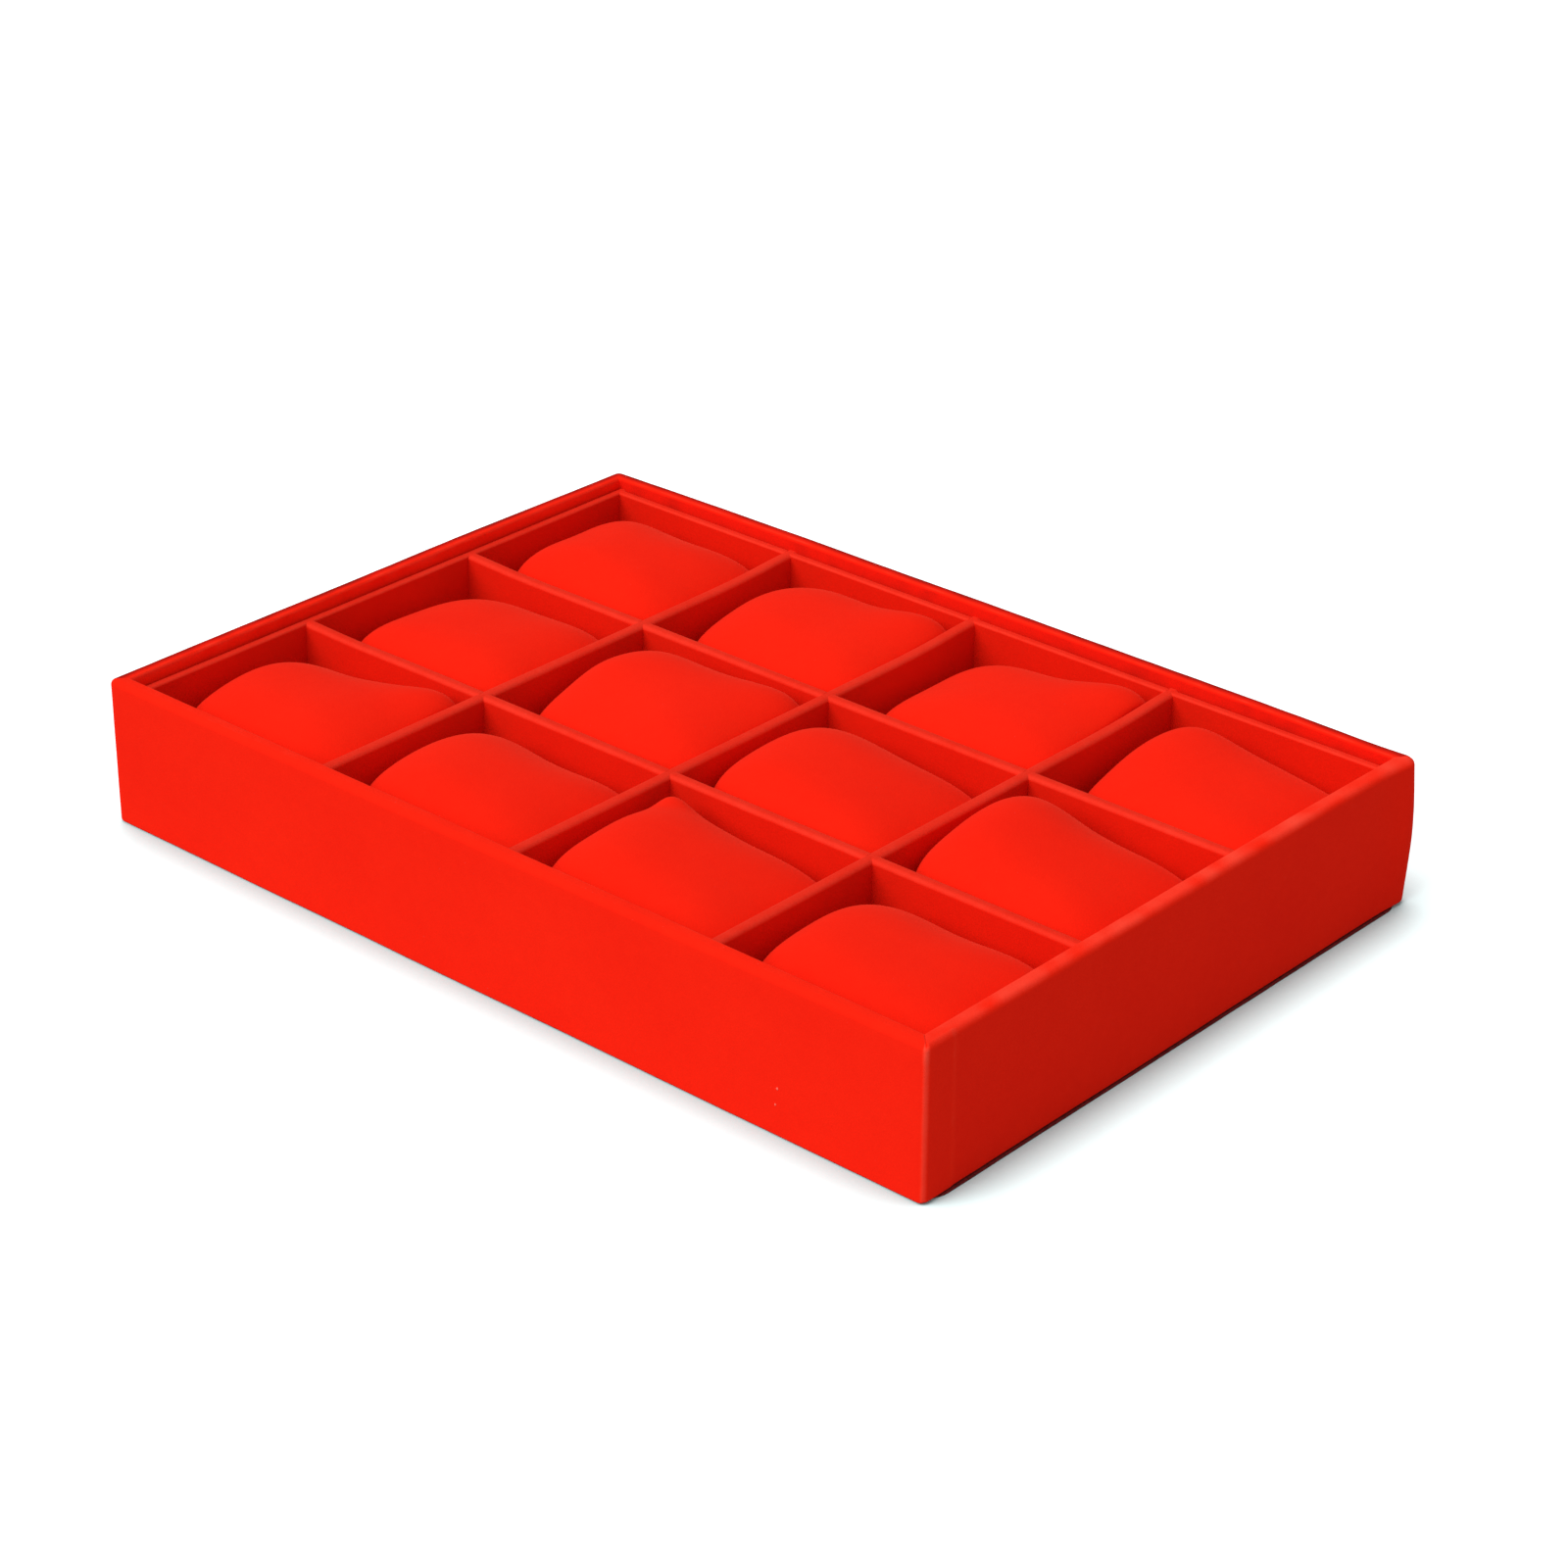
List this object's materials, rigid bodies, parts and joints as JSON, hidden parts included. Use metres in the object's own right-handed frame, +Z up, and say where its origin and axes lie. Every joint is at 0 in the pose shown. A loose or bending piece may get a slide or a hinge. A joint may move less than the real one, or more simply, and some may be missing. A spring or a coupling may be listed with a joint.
{
  "type": "watch display tray",
  "caption": "Shallow velvet-covered tray with a slotted grid of cells, each holding a soft pillow that a watch is strapped round.",
  "frame": {"origin": "middle of the tray's underside, on the surface that it stands on", "axes": "+X along the long side, with the front wall at -Y; +Z up"},
  "size_m": [0.35, 0.242, 0.0525],
  "materials": {
    "cover_velvet": "short flocked velvet, bright red",
    "grid_velvet": "short flocked velvet, bright red",
    "pillow_velvet": "soft stuffed velvet, bright red",
    "fibreboard": "raw fibreboard",
    "dark_sheet": "dark maroon felt sheet"
  },
  "bodies": {
    "root": {"bottom_sheet": "dark_sheet", "floor_board": "fibreboard", "front_wall_board": "fibreboard", "back_wall_board": "fibreboard", "left_wall_board": "fibreboard", "right_wall_board": "fibreboard", "velvet_cover": "cover_velvet", "floor_lining": "grid_velvet", "liner_left": "grid_velvet", "liner_right": "grid_velvet", "liner_front": "grid_velvet", "liner_back": "grid_velvet", "cross_divider_1": "grid_velvet", "cross_divider_2": "grid_velvet", "cross_divider_3": "grid_velvet", "long_divider_1": "grid_velvet", "long_divider_2": "grid_velvet", "pillow_front_1": "pillow_velvet", "pillow_front_2": "pillow_velvet", "pillow_front_3": "pillow_velvet", "pillow_front_4": "pillow_velvet", "pillow_middle_1": "pillow_velvet", "pillow_middle_2": "pillow_velvet", "pillow_middle_3": "pillow_velvet", "pillow_middle_4": "pillow_velvet", "pillow_back_1": "pillow_velvet", "pillow_back_2": "pillow_velvet", "pillow_back_3": "pillow_velvet", "pillow_back_4": "pillow_velvet"}
  },
  "joints": []
}
